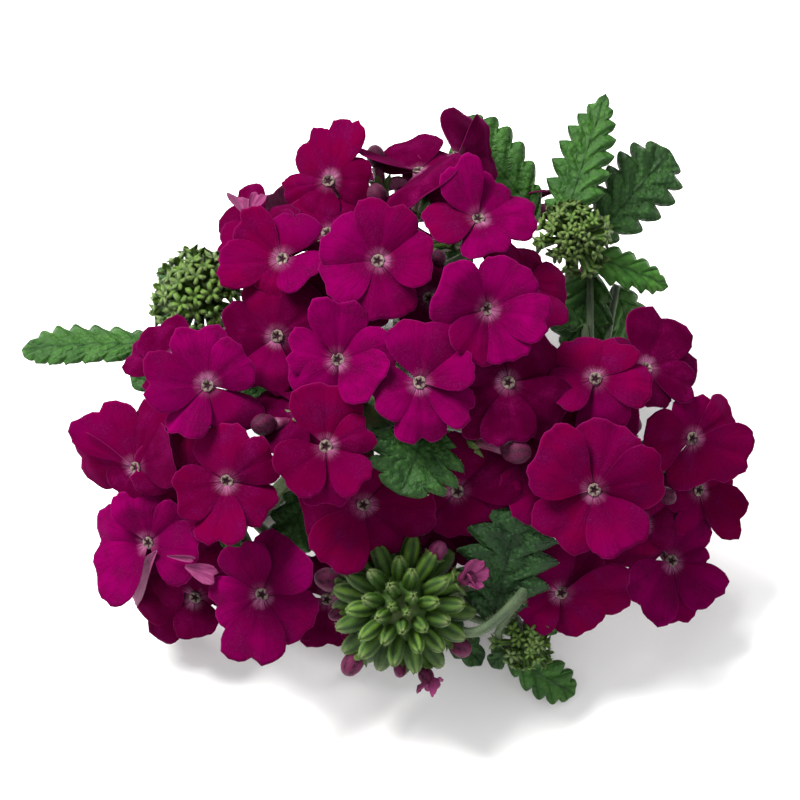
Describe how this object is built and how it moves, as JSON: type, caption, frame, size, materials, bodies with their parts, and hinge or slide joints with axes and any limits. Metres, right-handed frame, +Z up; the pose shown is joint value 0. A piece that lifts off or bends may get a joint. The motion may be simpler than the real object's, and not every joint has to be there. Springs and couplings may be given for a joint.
{
  "type": "verbena",
  "caption": "Picked tuft of verbena: domed heads of five-lobed magenta florets, round heads of green buds and toothed leaves on trailing square stems, lying on a surface, flowers up.",
  "frame": {"origin": "middle of the bounding box on the surface that the tuft lies on, under its trailing stems", "axes": "+Z up; +X to the right and -Y toward the eye in the picture, which looks down on the tuft from 60 degrees above the surface"},
  "size_m": [0.1224, 0.0974, 0.0658],
  "materials": {
    "petal": null,
    "leaf": null,
    "bud": null,
    "stem": null
  },
  "bodies": {
    "root": {"florets_top": "petal", "leafy_shoot_top": "leaf", "florets_left": "petal", "leafy_shoot_left": "leaf", "florets_middle": "petal", "leafy_shoot_middle": "leaf", "florets_right": "petal", "leafy_shoot_right": "leaf", "bud_left_shoot": "bud", "bud_right_shoot": "bud", "bud_front_shoot": "bud", "bud_corner_shoot": "bud", "trailing_stems": "stem"}
  },
  "joints": []
}
